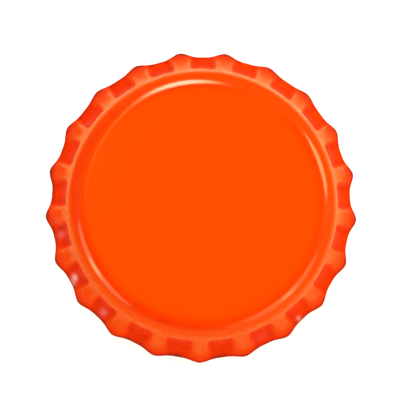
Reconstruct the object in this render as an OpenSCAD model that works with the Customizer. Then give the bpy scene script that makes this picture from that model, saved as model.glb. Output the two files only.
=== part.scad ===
// Crown cap for a bottle: a fluted tinplate shell with a moulded sealing liner inside.
// The rim lies on z = 0, the top panel faces +Z, and one tooth points along -Y.

/* [Crown] */
// Diameter over the tooth tips
cap_od = 32.1; // [31.5:0.1:33]
// Height from the rim to the top panel
cap_h = 6; // [5.6:0.1:6.8]
// Number of teeth round the skirt
teeth = 21; // [18:1:23]
// Thickness of the sheet
sheet_t = 0.24; // [0.2:0.01:0.28]

/* [Shoulder] */
// Outside diameter of the body at the ring where the flutes start
body_d = 27.2; // [26.6:0.1:27.8]
// Outside radius of the bend between the top panel and the skirt
bend_r = 1.8; // [1.5:0.1:2]
// Lean of the skirt from vertical where it leaves the bend, in degrees
skirt_lean = 24; // [20:1:28]

/* [Flutes] */
// Depth of the flute ring below the top panel
flute_drop = 1.4; // [1.3:0.05:1.8]
// Width of a flute, from the middle of one flank to the middle of the other
flute_w = 2.6; // [2.4:0.05:2.8]
// Width of a flank, from the flat top of a rib down to the floor of a flute
flank_w = 0.5; // [0.4:0.05:0.65]
// Depth of the flutes at the rim, from tooth tip to valley
rim_depth = 0.44; // [0.36:0.01:0.6]
// How late the floor of a flute flares out: 1 is a straight floor
floor_flare = 2.2; // [1.8:0.1:2.6]
// How pointed the teeth are at the rim: 1 is an even wave
tooth_point = 1.4; // [1:0.05:1.6]

/* [Liner] */
// Thickness of the thin middle of the liner
web_t = 0.25; // [0.2:0.05:0.4]
// Thickness of the sealing band round it
band_t = 0.7; // [0.5:0.05:0.8]
// Inner diameter of the sealing band
band_id = 19.6; // [18.5:0.1:20.2]
// Radius of the narrow bead at the inner edge of the band
inner_bead_r = 0.35; // [0.25:0.05:0.4]
// Radius of the wide bead that seals on the bottle's lip
outer_bead_r = 0.5; // [0.4:0.05:0.55]
// Distance of each bead from its edge of the band
bead_inset = 0.1; // [0.05:0.05:0.3]
// Gap between the liner and the bend of the shell
liner_gap = 0.06; // [0.04:0.01:0.12]

/* [Hidden] */
$fn = 96;

enamel = [1, 0.306, 0];
compound = [0.86, 0.87, 0.85];

// The first tooth points to the front
front = -90;
pitch = 360 / teeth;

// Shares of half a pitch, from the crest of a tooth to the middle of a flute, at which the sheet is sampled
half_stations = [0, 0.24, 0.36, 0.48, 0.74, 1];
// Shares of the way down the skirt, from the flute ring to the rim
skirt_stations = [0, 0.08, 0.22, 0.4, 0.6, 0.8, 1];
// Share of the way down at which the flat-topped ribs start to turn into the wave of the rim
wave_from = 0.4;
// Straight pieces that the bend is sampled by
bend_steps = 5;
// How far up into the band a bead is rooted
bead_root = 0.1;
// Small steps by which the slope of the sheet is measured
step_a = 0.02;
step_u = 0.01;

tip_r = cap_od / 2;
body_r = body_d / 2;
ring_z = cap_h - flute_drop;

// The bend runs from level to the lean of the skirt, about a circle under the edge of the top panel
bend_z = cap_h - bend_r;
bend_foot_z = bend_z + bend_r * sin(skirt_lean);
panel_r = body_r - (bend_foot_z - ring_z) * tan(skirt_lean) - bend_r * cos(skirt_lean);

// Fall from the flute ring to the outer edge of the rim. The cut edge of the sheet stands square to it,
// so the outer edge is a little higher than the inner one, which lies on z = 0.
rim_slope = 2 * (tip_r - body_r) / ring_z - tan(skirt_lean);
rim_fall = ring_z - sheet_t * sin(atan(rim_slope));

// The crest of a tooth is a parabola that leaves the ring at skirt_lean and passes through the tip
crest_bow = (tip_r - body_r - tan(skirt_lean) * rim_fall) / pow(rim_fall, 2);
floor_rise = tip_r - rim_depth - body_r;

function clamp01(t) = max(0, min(1, t));
function ease(t) = pow(clamp01(t), 2) * (3 - 2 * clamp01(t));
function mix(a, b, t) = a + (b - a) * t;

// Radius of the crest and of the flute floor, at a fall of u below the flute ring
function crest_r(u) = body_r + tan(skirt_lean) * u + crest_bow * u * abs(u);
function floor_r(u) = u > 0 ? body_r + floor_rise * pow(u / rim_fall, floor_flare) : crest_r(u);

// Height of the sheet between the flute floor (0) and the crest (1), for a share h of half a pitch.
// Flutes keep their width on the way down, so the ribs between them widen towards the rim.
function rib_form(h, u) =
    let (half_pitch = PI * crest_r(u) / teeth, from_middle = (1 - h) * half_pitch)
    ease((from_middle - flute_w / 2) / flank_w + 0.5);
function wave_form(h) = pow((1 + cos(180 * h)) / 2, tooth_point);
function relief(h, u) = mix(rib_form(h, u), wave_form(h), ease((u / rim_fall - wave_from) / (1 - wave_from)));

// Outer face of the skirt, at an angle a from the crest of the first tooth and a fall u
function share(a) = abs(a / pitch - round(a / pitch)) * 2;
function skirt_r(a, u) = mix(floor_r(u), crest_r(u), relief(share(a), u));
function skirt_point(a, u) = [skirt_r(a, u) * cos(a + front), skirt_r(a, u) * sin(a + front), ring_z - u];
function skirt_normal(a, u) =
    let (down = skirt_point(a, u + step_u) - skirt_point(a, u - step_u))
    let (along = skirt_point(a + step_a, u) - skirt_point(a - step_a, u))
    cross(down, along) / norm(cross(down, along));

// The rim falls so far that the inner edge of the sheet lands on z = 0
function rim_u(a) = ring_z - sheet_t * skirt_normal(a, rim_fall).z;
function skirt_u(a, s) = s * rim_u(a);
function skirt_outer(a, s) = skirt_point(a, skirt_u(a, s));
function skirt_inner(a, s) =
    let (q = skirt_outer(a, s) - sheet_t * skirt_normal(a, skirt_u(a, s)))
    s < 1 ? q : [q.x, q.y, 0];

// A point of the bend at an angle t above level, on a circle of radius r about its centre
function bend_point(a, t, r) =
    [(panel_r + r * cos(t)) * cos(a + front), (panel_r + r * cos(t)) * sin(a + front), bend_z + r * sin(t)];
bend_angles = [for (i = [0:bend_steps]) mix(90, skirt_lean, i / bend_steps)];

// Angles from the crest of the first tooth at which the sheet is sampled, all the way round
half_count = len(half_stations) - 1;
tooth_stations = concat(
    [for (i = [0:half_count]) half_stations[i] / 2],
    [for (i = [half_count - 1:-1:1]) 1 - half_stations[i] / 2]
);
angles = [for (k = [0:teeth - 1]) for (p = tooth_stations) (k + p) * pitch];

// Stamped sheet: rings of points down the outside and up the inside, joined by bands of triangles
module shell() {
    rings = concat(
        [for (t = bend_angles) [for (a = angles) bend_point(a, t, bend_r)]],
        [for (s = skirt_stations) [for (a = angles) skirt_outer(a, s)]],
        [for (i = [len(skirt_stations) - 1:-1:0]) [for (a = angles) skirt_inner(a, skirt_stations[i])]],
        [for (i = [bend_steps:-1:0]) [for (a = angles) bend_point(a, bend_angles[i], bend_r - sheet_t)]]
    );
    n = len(angles);
    last = (len(rings) - 1) * n;
    bands = [
        for (j = [0:len(rings) - 2], i = [0:n - 1])
            let (p = j * n + i, q = j * n + (i + 1) % n)
            each [[p, q, q + n], [p, q + n, p + n]]
    ];
    panel_top = [for (i = [n - 1:-1:0]) i];
    panel_under = [for (i = [0:n - 1]) last + i];
    color(enamel)
        polyhedron([for (ring = rings) each ring], concat([panel_top, panel_under], bands));
}

// Half-round bead on the underside of the sealing band, rooted a little way into it
module bead(centre_r, bead_r, z) {
    rotate_extrude()
        intersection() {
            translate([centre_r, z]) circle(r = bead_r);
            translate([centre_r - bead_r, z - bead_r]) square([2 * bead_r, bead_r + bead_root]);
        }
}

// Moulded seal: a thin web, a thicker band that follows the bend, and two half-round beads below it
module liner() {
    under_z = cap_h - sheet_t;
    bend_in = bend_r - sheet_t - liner_gap;
    band_z = under_z - band_t;
    band_ir = band_id / 2;
    band_or = panel_r + sqrt(pow(bend_in, 2) - pow(band_z - bend_z, 2));
    outer_arc = [
        for (i = [1:bend_steps])
            let (t = bend_angles[i], z = bend_z + bend_in * sin(t))
            if (z > band_z) [panel_r + bend_in * cos(t), z]
    ];
    color(compound) {
        rotate_extrude()
            polygon(concat(
                [[0, under_z], [panel_r - liner_gap, under_z]],
                outer_arc,
                [[band_or, band_z], [band_ir, band_z], [band_ir, under_z - web_t], [0, under_z - web_t]]
            ));
        bead(band_ir + bead_inset + inner_bead_r, inner_bead_r, band_z);
        bead(band_or - bead_inset - outer_bead_r, outer_bead_r, band_z);
    }
}

shell();
liner();
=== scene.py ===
"""Crown cap: the enamelled shell and its sealing liner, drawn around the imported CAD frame.

Lengths are in metres. The rim stands on z = 0, the top panel faces +Z and one tooth points along -Y.
An azimuth is counted from +X towards +Y, and an angle a the same way round from the tooth at the front.
A fall u is how far a place lies below the flute ring.
"""

import math
from collections import namedtuple

import bpy
import numpy as np
from mathutils import Matrix, Vector


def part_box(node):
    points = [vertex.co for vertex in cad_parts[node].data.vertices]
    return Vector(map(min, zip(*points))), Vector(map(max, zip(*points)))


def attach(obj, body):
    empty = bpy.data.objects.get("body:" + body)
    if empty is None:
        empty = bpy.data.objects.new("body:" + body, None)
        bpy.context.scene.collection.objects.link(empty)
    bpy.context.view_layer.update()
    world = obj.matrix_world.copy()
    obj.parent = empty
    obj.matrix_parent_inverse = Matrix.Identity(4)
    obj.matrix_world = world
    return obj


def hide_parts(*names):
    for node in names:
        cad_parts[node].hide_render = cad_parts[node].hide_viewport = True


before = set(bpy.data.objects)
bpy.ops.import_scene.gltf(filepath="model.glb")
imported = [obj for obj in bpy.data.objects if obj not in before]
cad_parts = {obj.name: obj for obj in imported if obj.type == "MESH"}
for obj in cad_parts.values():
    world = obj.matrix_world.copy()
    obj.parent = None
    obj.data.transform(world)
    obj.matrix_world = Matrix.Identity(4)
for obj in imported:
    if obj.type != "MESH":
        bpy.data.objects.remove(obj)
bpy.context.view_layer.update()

MM = 0.001

# ---------------------------------------------------------------- sizes of the shell

TEETH = 21
SHEET = 0.24 * MM
BODY_R = 13.6 * MM
BEND_R = 1.8 * MM
LEAN = math.radians(24)
FLUTE_DROP = 1.4 * MM
FLUTE_W = 2.6 * MM
FLANK_W = 0.5 * MM
# a wider flank keeps the inside from folding over itself at the corners of a flute
INNER_FLANK_W = 1.2 * MM
RIM_DEPTH = 0.46 * MM
# how far down a flute's floor rounds off below the ring, and the radius of the cut edge's corners
RING_ROUND = 0.8 * MM
EDGE_ROUND = 0.05 * MM
# powers that shape the flare of a flute's floor and the wave of the teeth
FLOOR_FLARE = 2.2
TOOTH_POINT = 1.6
TOOTH_SHARP = 0.9
# the share of the fall at which the flutes start to turn into that wave
WAVE_FROM = 0.4

shell_low, shell_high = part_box("shell")
CAP_H = shell_high.z
UNDER_Z = CAP_H - SHEET
# a tooth is drawn a little longer, and the rounding of its edge takes that off again
TIP_EXTRA = EDGE_ROUND / 3
TIP_R = -shell_low.y + TIP_EXTRA
# the azimuth of the tooth at the front, and the turn from one tooth to the next
FRONT = math.radians(-90)
PITCH = 2 * math.pi / TEETH

# the bend runs about a circle under the edge of the flat panel, and the flutes start at the ring. The
# crests bow outwards from there to the tips, and the floors end one rim depth further in
RING_Z = CAP_H - FLUTE_DROP
BEND_Z = CAP_H - BEND_R
BEND_FOOT_Z = BEND_Z + BEND_R * math.sin(LEAN)
PANEL_R = BODY_R - (BEND_FOOT_Z - RING_Z) * math.tan(LEAN) - BEND_R * math.cos(LEAN)
RIM_SLOPE = 2 * (TIP_R - BODY_R) / RING_Z - math.tan(LEAN)
RIM_FALL = RING_Z - SHEET * math.sin(math.atan(RIM_SLOPE))
CREST_BOW = (TIP_R - BODY_R - math.tan(LEAN) * RIM_FALL) / RIM_FALL**2
RING_LIP = math.tan(LEAN) * RING_ROUND / 2
FLOOR_RISE = TIP_R - RIM_DEPTH - BODY_R - RING_LIP

# the press left some flutes a little deeper than others: waves round the cap, each with its count, the
# azimuth of a shallow place and its height at the rim
FLUTE_WAVES = (
    (2, math.radians(88.6), 0.086 * MM),
    (3, math.radians(37.2), 0.046 * MM),
    (4, math.radians(46.3), 0.070 * MM),
    (5, math.radians(-16.1), 0.037 * MM),
)

# how finely the sheet is drawn: points round a tooth, and rings of points down the cap. Those of the
# panel are shares of its radius, and those of the neck are shares of the way from the ring to the bend
STEPS_PER_TOOTH = 32
PANEL_SHARES = (0.25, 0.5, 0.7, 0.82, 0.9, 0.95, 0.98)
BEND_STEPS = 14
NECK_SHARES = (0.5, 0.2, 0.08)
SKIRT_STEPS = 30
# above 1 it brings the rings closer together just under the flute ring
SKIRT_CROWDING = 1.35
EDGE_STEPS = 3
# the small steps over which the slope of the sheet is measured
SLOPE_STEP_A = 0.0004
SLOPE_STEP_U = 0.004 * MM

# directions from the middle of the bend's circle, and shares of the way down the skirt
BEND_TURNS = np.linspace(math.pi / 2, LEAN, BEND_STEPS + 1)
SKIRT_SHARES = np.linspace(0, 1, SKIRT_STEPS + 1) ** SKIRT_CROWDING

# ---------------------------------------------------------------- curves


def ease(t):
    """0 below 0, 1 above 1, and a smooth way between them."""
    t = np.clip(t, 0, 1)
    return t * t * (3 - 2 * t)


def rising(x, start, width):
    """0 up to start, and 1 from start + width on."""
    return ease((x - start) / width)


def fading(x, start, width):
    """1 up to start, and 0 from start + width on."""
    return 1 - rising(x, start, width)


def step_across(distance, width):
    """0 to 1 across a width that has distance 0 at its middle."""
    return ease(distance / width + 0.5)


def hump(distance, width):
    """1 at distance 0, falling off on both sides."""
    return np.exp(-((distance / width) ** 2))


def mix(a, b, t):
    """a where t is 0, b where it is 1."""
    return a + (b - a) * t


def toward(a, azimuth):
    """1 on the side at an azimuth, -1 opposite."""
    return np.cos(a + FRONT - azimuth)


def side_at(a, azimuth, power=1):
    """1 on the side at an azimuth, falling to 0 a quarter turn away."""
    return np.maximum(toward(a, azimuth), 0) ** power


def turn_from(a, azimuth):
    """The signed angle from an azimuth."""
    return np.angle(np.exp(1j * (a + FRONT - azimuth)))


def unit(v):
    return v / np.linalg.norm(v, axis=-1, keepdims=True)


# ---------------------------------------------------------------- form of the skirt


def crest_radius(u):
    """Radius of a tooth's crest."""
    return BODY_R + math.tan(LEAN) * u + CREST_BOW * u * np.abs(u)


def floor_radius(a, u):
    """Radius of a flute's floor. It rounds off below the ring, goes straight down and flares out."""
    round_over = np.minimum(u, RING_ROUND)
    round_over = round_over - np.maximum(round_over, 0) ** 2 / (2 * RING_ROUND)
    uneven = sum(height * np.cos(count * turn_from(a, side)) for count, side, height in FLUTE_WAVES)
    flare = (FLOOR_RISE + uneven) * (np.maximum(u, 0) / RIM_FALL) ** FLOOR_FLARE
    return BODY_R + math.tan(LEAN) * round_over + flare


def half_pitch(u):
    """The way from a crest to the middle of a flute, along the circle of the crests."""
    return math.pi * crest_radius(u) / TEETH


def from_crest(a):
    """The way from the nearest crest in pitches, -0.5 to 0.5."""
    return a / PITCH - np.round(a / PITCH)


def flute_share(a):
    """0 on a crest, 1 in the middle of a flute."""
    return 2 * np.abs(from_crest(a))


def relief(a, u, flank=FLANK_W):
    """Where the sheet lies between the flute's floor (0) and the crest (1)."""
    share = flute_share(a)
    rib = step_across((1 - share) * half_pitch(u) - FLUTE_W / 2, flank)
    wave = ((1 + np.cos(math.pi * share**TOOTH_SHARP)) / 2) ** TOOTH_POINT
    return mix(rib, wave, rising(u / RIM_FALL, WAVE_FROM, 1 - WAVE_FROM))


def sheet_radius(a, u, flank=FLANK_W):
    """Radius of the outside of the sheet."""
    return mix(floor_radius(a, u), crest_radius(u), relief(a, u, flank))


def placed(r, a, z):
    """Points of a radius and height at each angle."""
    return np.stack([r * np.cos(a + FRONT), r * np.sin(a + FRONT), z + 0 * a], -1)


def skirt_point(a, u, flank=FLANK_W):
    """Points on the outside of the sheet."""
    return placed(sheet_radius(a, u, flank), a, RING_Z - u)


def skirt_directions(a, u, flank=FLANK_W):
    """The sheet's outward normal, and the way down it, at each point."""
    down = skirt_point(a, u + SLOPE_STEP_U, flank) - skirt_point(a, u - SLOPE_STEP_U, flank)
    along = skirt_point(a + SLOPE_STEP_A, u, flank) - skirt_point(a - SLOPE_STEP_A, u, flank)
    normal = unit(np.cross(down, along))
    return normal, unit(np.cross(along, normal))


def rim_falls(a):
    """The fall at which the inner edge of the sheet lands on z = 0."""
    normal, _ = skirt_directions(a, np.full_like(a, RIM_FALL))
    return RING_Z - SHEET * normal[:, 2]


# ---------------------------------------------------------------- tone of the enamel

# 0 is the orange of the panel. Below it come the painted shade on the bend and in the flutes and the
# dark red of the rim, and above it the painted reflections and highlights on the ring and the ribs. Each
# feature has its depth in tones, and an azimuth names the side where it is strongest

# the power that narrows a feature to a few teeth
NARROW = 4

# painted shade on the bend, deepest on the side away from the light: its radius, a shift of it
# inwards at the front and outwards at the back, and its half widths inwards and outwards
BEND_DEEP = 0.46
BEND_DEEP_R = BODY_R - 0.98 * MM
BEND_DEEP_SHIFT = 0.06 * MM
BEND_DEEP_IN = 0.75 * MM
BEND_DEEP_OUT = 0.33 * MM
BEND_DEEP_AZ = math.radians(222)
BEND_DEEP_SIDE = 0.97
# at this side it lies further out
BEND_DEEP_ASIDE = 0.42 * MM
BEND_DEEP_ASIDE_AZ = math.radians(170)
BEND_DEEP_ASIDE_W = math.radians(25)

# painted shade: a dark line round the flat panel, beside the highlights, strongest at the back
PANEL_LINE = 0.38
PANEL_LINE_SIDE = 0.6
PANEL_LINE_R = PANEL_R + 0.12 * MM
PANEL_LINE_W = 0.3 * MM
# where that line fades out: azimuth and half width
PANEL_LINE_GAPS = ((math.radians(60), math.radians(20)), (math.radians(155), math.radians(27)))

# just above the pale ring, painted shade that is deeper at the back and turns to painted light at the
# front, on top of a share that is deeper on all sides
VALLEY = 0.14
VALLEY_R = BODY_R - 0.55 * MM
VALLEY_W = 0.3 * MM
VALLEY_AZ = math.radians(80)
VALLEY_ALL = 0.2

# the ring where the flutes start is painted pale as a reflection, more at the back, where the light
# falls, than at the front: its radius, and its half widths inwards and outwards
RING_PALE = 0.67
RING_PALE_R = BODY_R + 0.08 * MM
RING_PALE_IN = 0.3 * MM
RING_PALE_OUT = 0.36 * MM
RING_PALE_AZ = math.radians(75)
RING_PALE_SIDE = 0.62

# that painted reflection runs out down the ribs, and their tips are deep. Shares are of the way out
# to the tips
RIB_FADE = 0.35
RIB_FADE_POWER = 1.5
TIP_DEEP = 0.86
TIP_DEEP_FROM = 0.55
TIP_DEEP_FADE = 0.35

# the floors of the flutes carry painted shade below a short stretch of painted reflection, which is
# longer at the back, and more painted shade at the front left, down to a share of the way out
FLOOR_PALE_W = 0.55 * MM
FLOOR_PALE_FALL = 0.8 * MM
FLOOR_PALE_FADE = 0.8 * MM
FLOOR_PALE_MORE = 0.9 * MM
FLOOR_PALE_MORE_AZ = math.radians(88)
FLOOR_DEEP = 0.7
FLOOR_DEEP_MORE = 0.25
FLOOR_DEEP_AZ = math.radians(155)
FLUTE_SHADE = 0.36
FLUTE_SHADE_AZ = math.radians(240)
FLUTE_SHADE_TO = 0.35
FLUTE_SHADE_FADE = 0.35

# a painted highlight along each edge of a rib. It starts at a share of its depth, grows by a whole one
# towards the tip and fades out there, while it widens and moves from the rib on to its edge. It is
# brighter on the edges that face the back, where the main lamp stands
CREST_LINE = 0.24
CREST_LINE_TOP = 0.6
CREST_LINE_SIDE = 0.85
CREST_LINE_AZ = math.radians(105)
CREST_LINE_FACING = 1.1
CREST_LINE_FACING_GROWTH = 0.5
CREST_LINE_AT = 0.2 * MM
CREST_LINE_W = 0.14 * MM
CREST_LINE_WIDEN = 0.12 * MM
CREST_LINE_TO = 0.8
CREST_LINE_FADE = 0.2
# painted shade in a dark line at the foot of the rib, and a middle painted in shade on one side and in
# light on another
FOOT_LINE = 0.22
FOOT_LINE_AT = -0.42 * MM
FOOT_LINE_W = 0.26 * MM
RIB_CORE_DEEP = 0.36
RIB_CORE_DEEP_AZ = math.radians(170)
RIB_CORE_PALE = 0.18
RIB_CORE_PALE_AZ = math.radians(272)
RIB_CORE_W = 0.5 * MM
RIB_CORE_GROWTH = 0.5
# these lines grow to their full depth over the first share of the way out
RIB_LINES_GROWTH = 0.4

# the flared foot of a flute carries a painted reflection on one side and painted shade on the other
FOOT_PALE = 0.4
FOOT_PALE_AZ = math.radians(45)
FOOT_DARK = 0.7
FOOT_DARK_AZ = math.radians(258)
FOOT_W = 0.85 * MM
FOOT_H = 0.9 * MM

# the deepest tone of all that, and then a dark line along the rim, weaker in the flutes
DEEPEST = -1.5
RIM_DARK = 1.5
RIM_DARK_IN_FLUTE = 0.45
RIM_DARK_MORE = 0.35
RIM_DARK_AZ = math.radians(240)
RIM_DARK_W = 0.32 * MM


def ring_reflection(a):
    """How pale the painted reflection on the ring is on each side."""
    return RING_PALE * (1 + RING_PALE_SIDE * toward(a, RING_PALE_AZ))


def bend_shade(a, r):
    """How deep the painted shade on the bend is."""
    aside = BEND_DEEP_ASIDE * hump(turn_from(a, BEND_DEEP_ASIDE_AZ), BEND_DEEP_ASIDE_W)
    inward = BEND_DEEP_R - BEND_DEEP_SHIFT * toward(a, FRONT) + aside - r
    width = np.where(inward > 0, BEND_DEEP_IN, BEND_DEEP_OUT)
    return BEND_DEEP * (1 + BEND_DEEP_SIDE * toward(a, BEND_DEEP_AZ)) * hump(inward, width)


def panel_shade_line(a, r):
    """How dark the painted shade line round the panel is."""
    line = PANEL_LINE * (1 - PANEL_LINE_SIDE * toward(a, FRONT)) * hump(r - PANEL_LINE_R, PANEL_LINE_W)
    for azimuth, width in PANEL_LINE_GAPS:
        line = line * (1 - hump(turn_from(a, azimuth), width))
    return line


def bend_tone(a, r):
    """The tone of the panel and the bend, down to the ring: painted reflection on the ring and painted
    shade.
    """
    # painted shade above the ring, and painted light at the front
    valley = VALLEY * (VALLEY_ALL + toward(a, VALLEY_AZ)) * hump(r - VALLEY_R, VALLEY_W)
    pale_width = np.where(r < RING_PALE_R, RING_PALE_IN, RING_PALE_OUT)
    pale = ring_reflection(a) * hump(r - RING_PALE_R, pale_width)
    return pale - bend_shade(a, r) - panel_shade_line(a, r) - valley


def rib_tone(a, out):
    """The painted reflection on a rib, fading to deep tips, at a share of the way out to the tips."""
    pale = ring_reflection(a) * np.exp(-((out / RIB_FADE) ** RIB_FADE_POWER))
    return pale - TIP_DEEP * rising(out, TIP_DEEP_FROM, TIP_DEEP_FADE)


def floor_tone(a, u, r, out):
    """The painted shade and reflection on the floor of a flute."""
    # painted shade in the flutes, more at the front left
    flute_shade = FLUTE_SHADE * side_at(a, FLUTE_SHADE_AZ) * fading(out, FLUTE_SHADE_TO, FLUTE_SHADE_FADE)
    depth = FLOOR_DEEP + FLOOR_DEEP_MORE * side_at(a, FLOOR_DEEP_AZ) + flute_shade
    pale_fall = FLOOR_PALE_FALL + FLOOR_PALE_MORE * side_at(a, FLOOR_PALE_MORE_AZ, NARROW)
    # painted reflection just under the ring
    reflected = hump(r - RING_PALE_R, FLOOR_PALE_W) * fading(u, pale_fall, FLOOR_PALE_FADE)
    return (ring_reflection(a) + depth) * reflected - depth


def crest_highlight(a, beside, out):
    """The painted highlight along an edge of a rib. beside is the way from that edge on to the rib."""
    # from -1 on an edge that faces the front to 1 on one that faces the back
    faces_back = np.sign(from_crest(a)) * toward(a, 0)
    facing = CREST_LINE_FACING * faces_back * ease(out / CREST_LINE_FACING_GROWTH)
    # painted highlight, brighter on the edges that face the back
    side = CREST_LINE * (1 + CREST_LINE_SIDE * toward(a, CREST_LINE_AZ)) * (1 + facing)
    line = hump(beside - CREST_LINE_AT * (1 - out), CREST_LINE_W + CREST_LINE_WIDEN * out)
    return side * (CREST_LINE_TOP + out) * line * fading(out, CREST_LINE_TO, CREST_LINE_FADE)


def rib_lines(a, u, out):
    """The painted highlights and shade along the edges of a rib and down its middle."""
    share = flute_share(a)
    beside = (1 - share) * half_pitch(u) - FLUTE_W / 2
    # painted shade along the foot of the rib
    foot_shade = FOOT_LINE * hump(beside - FOOT_LINE_AT, FOOT_LINE_W)
    # the middle painted in shade on one side and in light on another
    core_deep = RIB_CORE_DEEP * side_at(a, RIB_CORE_DEEP_AZ)
    core_pale = RIB_CORE_PALE * side_at(a, RIB_CORE_PALE_AZ)
    core_line = hump(share * half_pitch(u), RIB_CORE_W) * ease(out / RIB_CORE_GROWTH)
    core = (core_deep - core_pale) * core_line
    return ease(out / RIB_LINES_GROWTH) * (crest_highlight(a, beside, out) - foot_shade - core)


def foot_reflection_and_shade(a, u, end):
    """The painted reflection and shade at the foot of a flute. The rim is where u reaches end."""
    # painted reflection on one side, painted shade on the other
    side = FOOT_PALE * side_at(a, FOOT_PALE_AZ) - FOOT_DARK * side_at(a, FOOT_DARK_AZ, NARROW)
    return side * hump((1 - flute_share(a)) * half_pitch(u), FOOT_W) * hump(end - u, FOOT_H)


def rim_line(a, u, end, rise):
    """How much darker the sheet is along the rim, where u reaches end."""
    in_flute = RIM_DARK_IN_FLUTE + RIM_DARK_MORE * side_at(a, RIM_DARK_AZ)
    return RIM_DARK * mix(in_flute, 1, rise) * hump(end - u, RIM_DARK_W)


def skirt_tone(a, u, end):
    """The tone below the ring, down to the rim, where u reaches end: painted reflection, highlights and
    shade.
    """
    rise = relief(a, u)
    r = sheet_radius(a, u)
    out = np.clip((r - BODY_R) / (TIP_R - BODY_R), 0, 1)
    tone = mix(floor_tone(a, u, r, out), rib_tone(a, out), rise) + rib_lines(a, u, out)
    return np.maximum(tone + foot_reflection_and_shade(a, u, end), DEEPEST) - rim_line(a, u, end, rise)


# ---------------------------------------------------------------- painted glints and sheen

# painted glints, pale spots on the ring, on the ribs and low in the flutes: azimuth, fall, half width,
# half height and how strongly the spot turns to the glint colour
GLINTS = (
    (math.radians(14.4), 2.6 * MM, 0.40 * MM, 0.50 * MM, 0.07),
    (math.radians(58.4), -0.2 * MM, 0.60 * MM, 0.30 * MM, 0.06),
    (math.radians(124.0), -0.2 * MM, 0.50 * MM, 0.30 * MM, 0.06),
    (math.radians(130.1), 2.5 * MM, 0.45 * MM, 0.50 * MM, 0.075),
    (math.radians(145.2), 2.6 * MM, 0.40 * MM, 0.45 * MM, 0.05),
    (math.radians(187.3), 2.6 * MM, 0.40 * MM, 0.45 * MM, 0.06),
    (math.radians(192.1), 3.2 * MM, 0.35 * MM, 0.70 * MM, 0.16),
    (math.radians(199.3), 0.9 * MM, 0.40 * MM, 0.45 * MM, 0.07),
    (math.radians(209.2), 2.95 * MM, 0.30 * MM, 0.40 * MM, 0.03),
    (math.radians(210.0), 3.55 * MM, 0.30 * MM, 0.38 * MM, 0.85),
    (math.radians(211.2), 4.1 * MM, 0.35 * MM, 0.30 * MM, 0.4),
    (math.radians(227.8), 3.35 * MM, 0.35 * MM, 0.55 * MM, 0.23),
    (math.radians(294.5), 3.2 * MM, 0.90 * MM, 0.50 * MM, 0.04),
    (math.radians(311.6), 3.95 * MM, 0.22 * MM, 0.30 * MM, 0.5),
)
# a faint painted sheen on the lower part of the ribs, down to a depth below their crests
HAZE = 0.008
HAZE_FROM = 1.6 * MM
HAZE_FADE = 1.6 * MM
HAZE_DEPTH = 0.3 * MM


def painted_glints(points):
    """How far each point turns to the pale colour of the painted glints and sheen: 0 not at all, 1
    fully.
    """
    x, y, z = points.T
    a = np.arctan2(y, x) - FRONT
    r = np.hypot(x, y)
    u = RING_Z - z
    glint = HAZE * rising(u, HAZE_FROM, HAZE_FADE) * hump(crest_radius(u) - r, HAZE_DEPTH)
    for azimuth, fall, half_width, half_height, depth in GLINTS:
        aside = turn_from(a, azimuth) * r
        glint = glint + depth * hump(aside, half_width) * hump(u - fall, half_height)
    return np.minimum(glint, 1)


# ---------------------------------------------------------------- rings and meshes

# a ring of points round the cap, the material of the faces between it and the ring before, and the tone
Ring = namedtuple("Ring", "points finish tone")
# where the materials stand in the shell's list. The liner has only the first
OUTSIDE, INSIDE, EDGE = 0, 1, 2


def all_points(rings, centres):
    """The points of all rings, and then the centre points that close the first and the last ring."""
    return np.concatenate([ring.points for ring in rings] + [np.array(centres)])


def revolved_piece(name, rings, centres, materials):
    """A closed piece from rings of equal count and the centre points of the first and the last ring."""
    points = all_points(rings, centres)
    first, last = len(points) - 2, len(points) - 1
    count = len(rings[0].points)
    step = np.arange(count)
    following = (step + 1) % count
    faces, slots = [], []
    for j, ring in enumerate(rings[1:]):
        upper, lower = j * count, (j + 1) * count
        band = np.stack([upper + step, lower + step, lower + following, upper + following], -1)
        faces.extend(band.tolist())
        slots.extend([ring.finish] * count)
    foot = (len(rings) - 1) * count
    faces.extend([first, int(i), int(j)] for i, j in zip(step, following))
    faces.extend([last, int(foot + j), int(foot + i)] for i, j in zip(step, following))
    slots.extend([rings[0].finish] * count + [rings[-1].finish] * count)
    mesh = bpy.data.meshes.new(name)
    mesh.from_pydata(points.tolist(), [], faces)
    for material in materials:
        mesh.materials.append(material)
    mesh.polygons.foreach_set("material_index", slots)
    mesh.polygons.foreach_set("use_smooth", [True] * len(faces))
    mesh.update()
    piece = bpy.data.objects.new(name, mesh)
    bpy.context.scene.collection.objects.link(piece)
    return piece


def paint(piece, name, values):
    """Keep a value at each point of a piece, for its material to read."""
    piece.data.attributes.new(name, "FLOAT", "POINT").data.foreach_set("value", values)


# ---------------------------------------------------------------- rings of the shell


def outside_rings(a, ends):
    """From the panel down to where the edge starts to round, at the falls in ends."""
    rings = []
    for share in PANEL_SHARES:
        r = PANEL_R * share
        rings.append(Ring(placed(r, a, CAP_H), OUTSIDE, bend_tone(a, r)))
    for turn in BEND_TURNS:
        r, z = PANEL_R + BEND_R * math.cos(turn), BEND_Z + BEND_R * math.sin(turn)
        rings.append(Ring(placed(r, a, z), OUTSIDE, bend_tone(a, r)))
    for share in NECK_SHARES:
        u = (RING_Z - BEND_FOOT_Z) * share + 0 * a
        rings.append(Ring(skirt_point(a, u), OUTSIDE, bend_tone(a, crest_radius(u))))
    for share in SKIRT_SHARES:
        u = ends * share
        rings.append(Ring(skirt_point(a, u), OUTSIDE, skirt_tone(a, u, ends)))
    return rings


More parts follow.
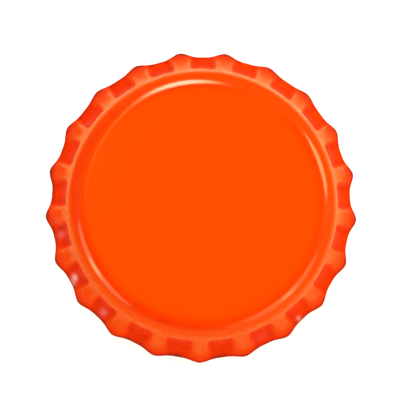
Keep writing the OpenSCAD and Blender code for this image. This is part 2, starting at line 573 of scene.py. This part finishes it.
def edge_rings(a, ends):
    """Round the cut edge: its outer corner still has enamel, and the rest is bare."""
    normal, down = skirt_directions(a, ends)
    tone = skirt_tone(a, ends, ends)
    corner_out = skirt_point(a, ends) - EDGE_ROUND * normal
    corner_in = skirt_point(a, ends) - (SHEET - EDGE_ROUND) * normal
    turns = [math.pi / 2 * k / EDGE_STEPS for k in range(EDGE_STEPS + 1)]
    rings = []
    for turn in turns[1:]:
        outward = normal * math.cos(turn) + down * math.sin(turn)
        rings.append(Ring(corner_out + EDGE_ROUND * outward, OUTSIDE, tone))
    for turn in turns:
        outward = down * math.cos(turn) - normal * math.sin(turn)
        rings.append(Ring(corner_in + EDGE_ROUND * outward, EDGE, 0 * a))
    return rings


def inside_rings(a, ends):
    """Up the inside from just above the edge, and back to the middle of the panel."""
    rings = []
    for share in SKIRT_SHARES[-2::-1]:
        u = ends * share
        normal, _ = skirt_directions(a, u, INNER_FLANK_W)
        rings.append(Ring(skirt_point(a, u) - SHEET * normal, INSIDE, 0 * a))
    inner_bend = BEND_R - SHEET
    for turn in BEND_TURNS[::-1]:
        r, z = PANEL_R + inner_bend * math.cos(turn), BEND_Z + inner_bend * math.sin(turn)
        rings.append(Ring(placed(r, a, z), INSIDE, 0 * a))
    for share in PANEL_SHARES[::-1]:
        rings.append(Ring(placed(PANEL_R * share, a, UNDER_Z), INSIDE, 0 * a))
    return rings


def shell_rings():
    """Down the outside, round the cut edge and up the inside."""
    count = TEETH * STEPS_PER_TOOTH
    a = np.arange(count) * 2 * math.pi / count
    ends = rim_falls(a) - EDGE_ROUND
    return outside_rings(a, ends) + edge_rings(a, ends) + inside_rings(a, ends)


# ---------------------------------------------------------------- the liner

WEB = 0.25 * MM
BAND = 0.7 * MM
BAND_IR = 9.8 * MM
INNER_BEAD_R = 0.35 * MM
OUTER_BEAD_R = 0.5 * MM
BEAD_INSET = 0.1 * MM
LINER_GAP = 0.06 * MM
LINER_BEND = BEND_R - SHEET - LINER_GAP
BAND_Z = UNDER_Z - BAND
BAND_OR = PANEL_R + math.sqrt(LINER_BEND**2 - (BAND_Z - BEND_Z) ** 2)
# the radius of each bead's middle, and its height
BEADS = (
    (BAND_IR + BEAD_INSET + INNER_BEAD_R, INNER_BEAD_R),
    (BAND_OR - BEAD_INSET - OUTER_BEAD_R, OUTER_BEAD_R),
)
BEAD_FULLNESS = 2.4
LINER_FILLET = 0.16 * MM
WEB_FILLET = 0.35 * MM
LINER_CORNER = 0.07 * MM
# the middle of that corner's rounding: shares of it inwards and upwards
LINER_CORNER_MIDDLE = (0.2, 0.25)
# fine lines that the moulding punch leaves in the web, and the dimple at its middle
PUNCH_LINES = (3.1 * MM, 6.0 * MM, 8.3 * MM)
PUNCH_LINE_W = 0.12 * MM
PUNCH_LINE_H = 0.035 * MM
DIMPLE_R = 0.9 * MM
DIMPLE_H = 0.06 * MM
# how finely the liner is drawn
LINER_COUNT = 168
LINER_TOP_SHARES = (0.5, 0.97)
LINER_BEND_STEPS = 7
BAND_STEPS = 71
WEB_STEPS = 139


def soft_max(a, b, width):
    """The larger of two heights, with a fillet where they cross."""
    near = np.maximum(width - np.abs(a - b), 0) / width
    return np.maximum(a, b) + near * near * width / 4


def liner_depth(r):
    """How far the liner's underside lies below the panel."""
    depth = mix(WEB, BAND, step_across(r - BAND_IR, WEB_FILLET))
    for centre, bead_r in BEADS:
        bead = BAND + bead_r * (1 - np.abs((r - centre) / bead_r) ** BEAD_FULLNESS)
        depth = soft_max(depth, bead, LINER_FILLET)
    for line_r in PUNCH_LINES:
        depth = depth + PUNCH_LINE_H * hump(r - line_r, PUNCH_LINE_W)
    return depth - DIMPLE_H * hump(r, DIMPLE_R)


def liner_profile():
    """Radius and height along the liner's section: out under the panel, down the bend, and back in."""
    profile = [(PANEL_R * share, UNDER_Z) for share in LINER_TOP_SHARES]
    edge_turn = math.asin((BAND_Z + LINER_CORNER - BEND_Z) / LINER_BEND)
    for turn in np.linspace(math.pi / 2, edge_turn, LINER_BEND_STEPS + 1)[1:]:
        profile.append((PANEL_R + LINER_BEND * math.cos(turn), BEND_Z + LINER_BEND * math.sin(turn)))
    inward, upward = LINER_CORNER_MIDDLE
    profile.append((BAND_OR - inward * LINER_CORNER, BAND_Z + upward * LINER_CORNER))
    band = np.linspace(BAND_OR - LINER_CORNER, BAND_IR - WEB_FILLET, BAND_STEPS + 1)
    web = np.linspace(BAND_IR - WEB_FILLET, 0, WEB_STEPS + 1)[1:-1]
    profile.extend((r, UNDER_Z - liner_depth(r)) for r in np.concatenate([band, web]))
    return profile


def liner_rings():
    a = np.arange(LINER_COUNT) * 2 * math.pi / LINER_COUNT
    return [Ring(placed(r, a, z), OUTSIDE, 0 * a) for r, z in liner_profile()]


# ---------------------------------------------------------------- materials


def srgb(r, g, b):
    """A colour written as 0 to 255, as Blender's linear values."""
    # the curve of the sRGB standard
    def linear(c):
        c /= 255
        return c / 12.92 if c <= 0.04045 else ((c + 0.055) / 1.055) ** 2.4
    return (linear(r), linear(g), linear(b), 1)


def grey(level):
    return (level, level, level, 1)


# the enamel's colour at each tone, and the pale colour of the painted glints and sheen
ENAMEL_TONES = (
    (-2.5, srgb(150, 38, 14)),
    (-1.6, srgb(213, 43, 10)),
    (-1.35, srgb(230, 47, 6)),
    (-1.1, srgb(243, 51, 3)),
    (-0.9, srgb(252, 54, 1)),
    (0, srgb(255, 78, 0)),
    (0.3, srgb(255, 102, 42)),
    (1, srgb(255, 145, 86)),
    (2, srgb(255, 210, 208)),
)
GLINT_COLOUR = srgb(255, 205, 208)
# the mottle multiplies the tone. The speckle is added, to the steep sheet more than to the flat panel,
# and turns from one to the other between two slopes of the sheet, given as the normal's z
MOTTLE_RANGE = (0.8, 1.16)
SPECKLE_RANGE = (-1, 1)
SPECKLE_AMOUNTS = (0.2, 0.015)
SPECKLE_SLOPES = (0.15, 0.85)
# the varnish: its roughness in smears, its orange peel, and the colour of what it mirrors
SMEAR_ROUGHNESS = (0.10, 0.15)
PEEL_STRENGTH = 0.05
PEEL_DEPTH = 0.02 * MM
ENAMEL_TINT = (1, 0.95, 0.6, 1)
COAT_ROUGHNESS = 0.08
ENAMEL_GLOSS = (("Specular IOR Level", 0.62), ("Coat Weight", 0.2))
# how much of its gloss the sheet keeps at a slant: Layer Weight's facing, and the share that is kept
SLANT_GLOSS = ((0.13, grey(1)), (0.26, grey(0.06)), (0.42, grey(0.005)))
# the share that the flat panel always keeps, and the slopes between which it comes in
PANEL_GLOSS = 0.09
PANEL_SLOPES = (0.97, 0.999)

TIN_COLOURS = (srgb(196, 190, 172), srgb(214, 210, 196))
TIN_ROUGHNESS = (0.28, 0.42)
STEEL_COLOURS = (srgb(120, 116, 112), srgb(176, 172, 168))
STEEL_ROUGHNESS = (0.35, 0.6)
COMPOUND_COLOURS = (srgb(206, 208, 203), srgb(222, 223, 219))
COMPOUND_ROUGHNESS = (0.42, 0.56)
COMPOUND_SOFTNESS = 0.15
COMPOUND_REACH = (0.6 * MM, 0.6 * MM, 0.55 * MM)

# nearly all values of a noise lie between these two
NOISE_LOW, NOISE_HIGH = 0.3, 0.7
# where a Mix node keeps its factor, its two colours and their blend
MIX_FACTOR, MIX_A, MIX_B, MIX_RESULT = 0, 6, 7, 2


def new_material(name):
    """A material, its node tree and its shader."""
    material = bpy.data.materials.new(name)
    material.use_nodes = True
    tree = material.node_tree
    return material, tree, tree.nodes["Principled BSDF"]


def node(tree, kind, **settings):
    made = tree.nodes.new(kind)
    for key, value in settings.items():
        setattr(made, key, value)
    return made


def set_inputs(target, values):
    for name, value in values.items():
        target.inputs[name].default_value = value


def feed(tree, source, socket):
    """Link a socket to another node's output, or set it to a plain value."""
    if isinstance(source, bpy.types.NodeSocket):
        tree.links.new(source, socket)
    else:
        socket.default_value = source


def calculated(tree, operation, *values):
    """The result of a Math node over plain values and outputs."""
    made = node(tree, "ShaderNodeMath", operation=operation)
    for socket, value in zip(made.inputs, values):
        feed(tree, value, socket)
    return made.outputs[0]


def coordinates(tree, kind):
    """Texture coordinates of one kind."""
    return node(tree, "ShaderNodeTexCoord").outputs[kind]


def upward(tree, direction):
    """The z of a direction."""
    split = node(tree, "ShaderNodeSeparateXYZ")
    tree.links.new(direction, split.inputs[0])
    return split.outputs["Z"]


def painted(tree, name):
    """The value that paint() has kept at each point."""
    return node(tree, "ShaderNodeAttribute", attribute_name=name).outputs["Fac"]


def noise(tree, scale, detail, roughness=0.5):
    """A noise through the piece, with a scale per metre."""
    made = node(tree, "ShaderNodeTexNoise")
    set_inputs(made, {"Scale": scale, "Detail": detail, "Roughness": roughness})
    tree.links.new(coordinates(tree, "Object"), made.inputs["Vector"])
    return made.outputs["Fac"]


def ranged(tree, source, low, high, from_low=NOISE_LOW, from_high=NOISE_HIGH):
    """A value moved from one range to another, low to high, and kept inside it."""
    made = node(tree, "ShaderNodeMapRange")
    set_inputs(made, {"From Min": from_low, "From Max": from_high, "To Min": low, "To Max": high})
    tree.links.new(source, made.inputs["Value"])
    return made.outputs["Result"]


def blended(tree, factor, colour_a, colour_b):
    """The first colour where the factor is 0, the second where it is 1."""
    made = node(tree, "ShaderNodeMix", data_type="RGBA")
    feed(tree, factor, made.inputs[MIX_FACTOR])
    feed(tree, colour_a, made.inputs[MIX_A])
    feed(tree, colour_b, made.inputs[MIX_B])
    return made.outputs[MIX_RESULT]


def ramp(tree, factor, stops):
    """Colours along a factor, each with its position from 0 to 1."""
    made = node(tree, "ShaderNodeValToRGB")
    tree.links.new(factor, made.inputs["Fac"])
    elements = made.color_ramp.elements
    elements[0].position, elements[0].color = stops[0]
    elements[1].position, elements[1].color = stops[-1]
    for position, colour in stops[1:-1]:
        elements.new(position).color = colour
    return made.outputs["Color"]


def mottled(tree, shader, cloud, colours, roughness):
    """Colour and roughness that vary together in one noise."""
    tree.links.new(blended(tree, ranged(tree, cloud, 0, 1), *colours), shader.inputs["Base Color"])
    tree.links.new(ranged(tree, cloud, *roughness), shader.inputs["Roughness"])


def bump(tree, shader, height, strength, distance):
    made = node(tree, "ShaderNodeBump")
    set_inputs(made, {"Strength": strength, "Distance": distance})
    tree.links.new(height, made.inputs["Height"])
    tree.links.new(made.outputs["Normal"], shader.inputs["Normal"])


def enamel_colour(tree, up):
    """The colour of the tone, uneven on the stretched sheet and turned pale by the painted glints."""
    mottle = ranged(tree, noise(tree, scale=800, detail=2), *MOTTLE_RANGE)
    speckle = ranged(tree, noise(tree, scale=2600, detail=1), *SPECKLE_RANGE)
    speckle = calculated(tree, "MULTIPLY", speckle, ranged(tree, up, *SPECKLE_AMOUNTS, *SPECKLE_SLOPES))
    tone = calculated(tree, "MULTIPLY_ADD", painted(tree, "tone"), mottle, speckle)
    lowest, highest = ENAMEL_TONES[0][0], ENAMEL_TONES[-1][0]
    stops = [((level - lowest) / (highest - lowest), colour) for level, colour in ENAMEL_TONES]
    colour = ramp(tree, ranged(tree, tone, 0, 1, lowest, highest), stops)
    # turned pale where the glints and sheen are painted
    return blended(tree, painted(tree, "glint"), colour, GLINT_COLOUR)


def enamel_gloss(tree, up):
    """The share of gloss. It fades where the sheet is seen at a slant, but the panel keeps some."""
    slant = node(tree, "ShaderNodeLayerWeight").outputs["Facing"]
    on_panel = ranged(tree, up, 0, PANEL_GLOSS, *PANEL_SLOPES)
    return calculated(tree, "MAXIMUM", ramp(tree, slant, SLANT_GLOSS), on_panel)


def enamel():
    """Glossy orange enamel under a clear varnish: a little mottle, orange peel and smears."""
    material, tree, shader = new_material("orange_enamel")
    up = upward(tree, coordinates(tree, "Normal"))
    tree.links.new(enamel_colour(tree, up), shader.inputs["Base Color"])
    smear = noise(tree, scale=350, detail=5, roughness=0.6)
    tree.links.new(ranged(tree, smear, *SMEAR_ROUGHNESS), shader.inputs["Roughness"])
    bump(tree, shader, noise(tree, scale=2600, detail=2), PEEL_STRENGTH, PEEL_DEPTH)
    set_inputs(shader, {"Specular Tint": ENAMEL_TINT, "Coat Roughness": COAT_ROUGHNESS})
    gloss = enamel_gloss(tree, up)
    for name, most in ENAMEL_GLOSS:
        shader.inputs[name].default_value = most
        tree.links.new(ranged(tree, gloss, 0, most, 0, 1), shader.inputs[name])
    return material


def lacquered_tin():
    """Bare tinplate under a thin clear lacquer."""
    material, tree, shader = new_material("lacquered_tin")
    mottled(tree, shader, noise(tree, scale=1500, detail=5, roughness=0.6), TIN_COLOURS, TIN_ROUGHNESS)
    bump(tree, shader, noise(tree, scale=6000, detail=2), strength=0.08, distance=0.01 * MM)
    set_inputs(shader, {"Metallic": 1})
    return material


def cut_steel():
    """The sheared edge of the sheet."""
    material, tree, shader = new_material("cut_steel")
    tear = noise(tree, scale=5000, detail=4, roughness=0.7)
    mottled(tree, shader, tear, STEEL_COLOURS, STEEL_ROUGHNESS)
    bump(tree, shader, tear, strength=0.3, distance=0.02 * MM)
    set_inputs(shader, {"Metallic": 1})
    return material


def compound():
    """Soft translucent sealing compound, moulded in place."""
    material, tree, shader = new_material("sealing_compound")
    cloud = noise(tree, scale=500, detail=4, roughness=0.6)
    mottled(tree, shader, cloud, COMPOUND_COLOURS, COMPOUND_ROUGHNESS)
    bump(tree, shader, noise(tree, scale=3000, detail=3), strength=0.15, distance=0.02 * MM)
    set_inputs(shader, {
        "Subsurface Weight": COMPOUND_SOFTNESS,
        "Subsurface Radius": COMPOUND_REACH,
        "Subsurface Scale": 1,
    })
    return material


# ---------------------------------------------------------------- pieces


def make_shell():
    rings = shell_rings()
    centres = ((0, 0, CAP_H), (0, 0, UNDER_Z))
    piece = revolved_piece("crown_shell", rings, centres, [enamel(), lacquered_tin(), cut_steel()])
    paint(piece, "tone", np.concatenate([ring.tone for ring in rings] + [np.zeros(len(centres))]))
    # the painted glints and sheen
    paint(piece, "glint", painted_glints(all_points(rings, centres)))
    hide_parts("shell")
    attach(piece, "root")


def make_liner():
    centres = ((0, 0, UNDER_Z), (0, 0, UNDER_Z - liner_depth(0)))
    piece = revolved_piece("sealing_liner", liner_rings(), centres, [compound()])
    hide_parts("liner")
    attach(piece, "root")


make_shell()
make_liner()

# ---------------------------------------------------------------- studio

# the camera stands a little in front of the cap and to its left, almost straight above, with +Y up in
# the picture. Its focal length is in pixels of the photo, and its sensor's side in millimetres
PHOTO_SIDE = 400
CAMERA_AT = Vector((-5.1, -15.5, 244)) * MM
CAMERA_AIM = Vector((-0.13, 0.71, 0)) * MM
CAMERA_ROLL = math.radians(0.55)
CAMERA_NEAR = 10 * MM
FOCAL_PX = 2373
SENSOR = 36

# the floor, and its lift to white near the cap and further off, where the lamps reach less
FLOOR_HALF_SIDE = 3
FLOOR_CORNERS = ((-1, -1), (1, -1), (1, 1), (-1, 1))
FLOOR_COLOUR = grey(0.78)
FLOOR_ROUGHNESS = 0.9
FLOOR_SPECULAR = 0.1
FLOOR_LIFT = (0.6, 1)
FLOOR_LIFT_FROM = 0.2
FLOOR_LIFT_TO = 1.2
# the power that makes the room dark overhead
ROOM_FADE = 4

# the core of the highlight at the back stands in front of its other lamps
LAMP_DISTANCE = 0.5
CORE_DISTANCE = 0.48
WHITE = (1, 1, 1)
WARM = (1, 0.98, 0.58)
AMBER = (1, 0.95, 0.25)
COLD = (0.7, 0.72, 1)


def make_camera():
    data = bpy.data.cameras.new("camera")
    data.sensor_width = SENSOR
    data.lens = FOCAL_PX * SENSOR / PHOTO_SIDE
    data.clip_start = CAMERA_NEAR
    camera = bpy.data.objects.new("camera", data)
    bpy.context.scene.collection.objects.link(camera)
    back = (CAMERA_AT - CAMERA_AIM).normalized()
    right = Vector((0, 1, 0)).cross(back).normalized()
    up = back.cross(right)
    turn = Matrix((right, up, back)).transposed() @ Matrix.Rotation(CAMERA_ROLL, 3, "Z")
    camera.matrix_world = Matrix.Translation(CAMERA_AT) @ turn.to_4x4()
    bpy.context.scene.camera = camera


def floor_paint():
    """A matt pale paint, lifted to white where it is seen or mirrored. It keeps the cap's shadow."""
    material, tree, shader = new_material("floor")
    path = node(tree, "ShaderNodeLightPath")
    seen = calculated(tree, "MAXIMUM", path.outputs["Is Camera Ray"], path.outputs["Is Glossy Ray"])
    seen = calculated(tree, "MAXIMUM", seen, path.outputs["Is Transmission Ray"])
    away = node(tree, "ShaderNodeVectorMath", operation="LENGTH")
    tree.links.new(coordinates(tree, "Object"), away.inputs[0])
    lift = ranged(tree, away.outputs["Value"], *FLOOR_LIFT, FLOOR_LIFT_FROM, FLOOR_LIFT_TO)
    tree.links.new(calculated(tree, "MULTIPLY", seen, lift), shader.inputs["Emission Strength"])
    set_inputs(shader, {
        "Base Color": FLOOR_COLOUR,
        "Roughness": FLOOR_ROUGHNESS,
        "Specular IOR Level": FLOOR_SPECULAR,
        "Emission Color": grey(1),
    })
    return material


def make_floor():
    mesh = bpy.data.meshes.new("floor")
    corners = [(FLOOR_HALF_SIDE * x, FLOOR_HALF_SIDE * y, 0) for x, y in FLOOR_CORNERS]
    mesh.from_pydata(corners, [], [(0, 1, 2, 3)])
    mesh.materials.append(floor_paint())
    floor = bpy.data.objects.new("floor", mesh)
    bpy.context.scene.collection.objects.link(floor)


def make_world():
    """A pale room, as bright as the floor at the horizon and dark overhead."""
    world = bpy.data.worlds.new("studio")
    bpy.context.scene.world = world
    world.use_nodes = True
    tree = world.node_tree
    level = ranged(tree, upward(tree, coordinates(tree, "Generated")), 1, 0, 0, 1)
    background = tree.nodes["Background"]
    tree.links.new(calculated(tree, "POWER", level, ROOM_FADE), background.inputs["Strength"])
    background.inputs["Color"].default_value = grey(1)


def make_light(name, azimuth, elevation, width, height, radiance, colour=WHITE, roll=0, mirrored=True,
               distance=LAMP_DISTANCE):
    """An oval soft box that faces the cap, or a fill that no gloss mirrors. Angles are in degrees."""
    data = bpy.data.lights.new(name, "AREA")
    data.shape = "ELLIPSE"
    data.size = width
    data.size_y = height
    data.color = colour
    area = math.pi / 4 * width * height
    # the power of a flat lamp is its radiance times its area times pi
    data.energy = radiance * math.pi * area
    light = bpy.data.objects.new(name, data)
    a, e = math.radians(azimuth), math.radians(elevation)
    direction = Vector((math.cos(a) * math.cos(e), math.sin(a) * math.cos(e), math.sin(e)))
    light.location = distance * direction
    facing = light.location.to_track_quat("Z", "Y").to_matrix()
    light.rotation_euler = (facing @ Matrix.Rotation(math.radians(roll), 3, "Z")).to_euler()
    light.visible_glossy = mirrored
    bpy.context.scene.collection.objects.link(light)


def make_lights():
    """Lamps for the four highlights, with cores and halos, one for a weak streak, and three fills."""
    # name, azimuth, elevation, width, height, radiance and colour
    make_light("light_back_left", 97.5, 50, 0.19, 0.26, 4.7, WARM)
    make_light("light_back_left_core", 98.5, 50, 0.13, 0.20, 7.8, COLD, distance=CORE_DISTANCE)
    make_light("light_back_left_halo", 102, 49, 0.20, 0.38, 1.5, WARM)
    make_light("light_right", 22.5, 37, 0.205, 0.24, 5.6, WARM)
    make_light("light_left", 209, 38, 0.36, 0.30, 2.0, WARM)
    make_light("light_left_core", 208.9, 36, 0.08, 0.20, 4.4, WARM)
    make_light("light_front_right", 317, 38, 0.36, 0.31, 1.05, WARM)
    make_light("light_front_right_halo", 312, 34, 0.48, 0.36, 0.5, AMBER)
    make_light("light_front_right_core", 318.5, 36, 0.07, 0.22, 2.4, WARM)
    make_light("light_above", 119, 68, 0.30, 0.06, 1.4, AMBER, roll=80)
    make_light("fill_right", 0, 40, 0.35, 0.35, 0.98, mirrored=False)
    make_light("fill_left", 185, 36, 0.35, 0.35, 1.12, mirrored=False)
    make_light("fill_front", 279, 14, 0.9, 0.26, 1.22, mirrored=False)


make_camera()
make_floor()
make_world()
make_lights()
bpy.context.scene.view_settings.view_transform = "Standard"
